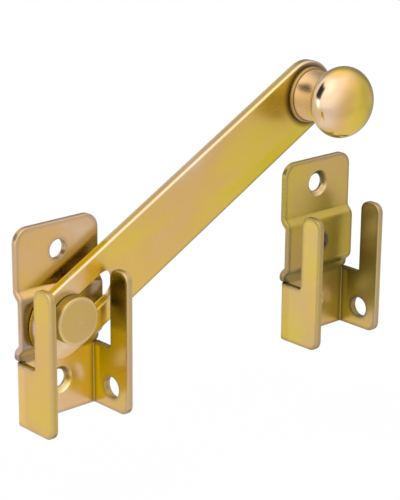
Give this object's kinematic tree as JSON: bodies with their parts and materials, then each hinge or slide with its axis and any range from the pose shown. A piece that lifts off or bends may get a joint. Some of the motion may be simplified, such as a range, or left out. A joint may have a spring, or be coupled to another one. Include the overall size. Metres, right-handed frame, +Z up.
{
  "type": "gate bolt",
  "caption": "Throw-over gate bolt: a slotted flat bar with a ball knob pivots on a riveted bracket and drops between the prongs of a matching keep, in yellow-passivated steel.",
  "frame": {"origin": "middle of the pivot bracket's screw pattern, on its mounting plane", "axes": "+X along the closed bar towards the keep, +Y back into the mounting surface, +Z up"},
  "size_m": [0.161, 0.036, 0.1112],
  "materials": {
    "passivated_sheet": "yellow-passivated zinc plate, satin",
    "passivated_bar": "yellow-passivated zinc plate, satin, drawn along the bar",
    "passivated_turned": "yellow-passivated zinc plate over turned steel, bright"
  },
  "bodies": {
    "brackets": {"pivot_bracket": "passivated_sheet", "keep_bracket": "passivated_sheet"},
    "rivet": {"pivot_rivet": "passivated_turned"},
    "bar": {"throw_bar": "passivated_bar", "knob": "passivated_turned"}
  },
  "joints": [
    {"name": "bar_swing", "type": "hinge", "parent": "brackets", "child": "rivet", "pos_m": [0, 0, 0.00075], "axis": [0, -1, 0], "range_deg": [-29.2, 155.5]},
    {"name": "bar_slide", "type": "slide", "parent": "rivet", "child": "bar", "axis": [0.8788, 0, 0.4772], "range_m": [-0.005, 0]}
  ]
}
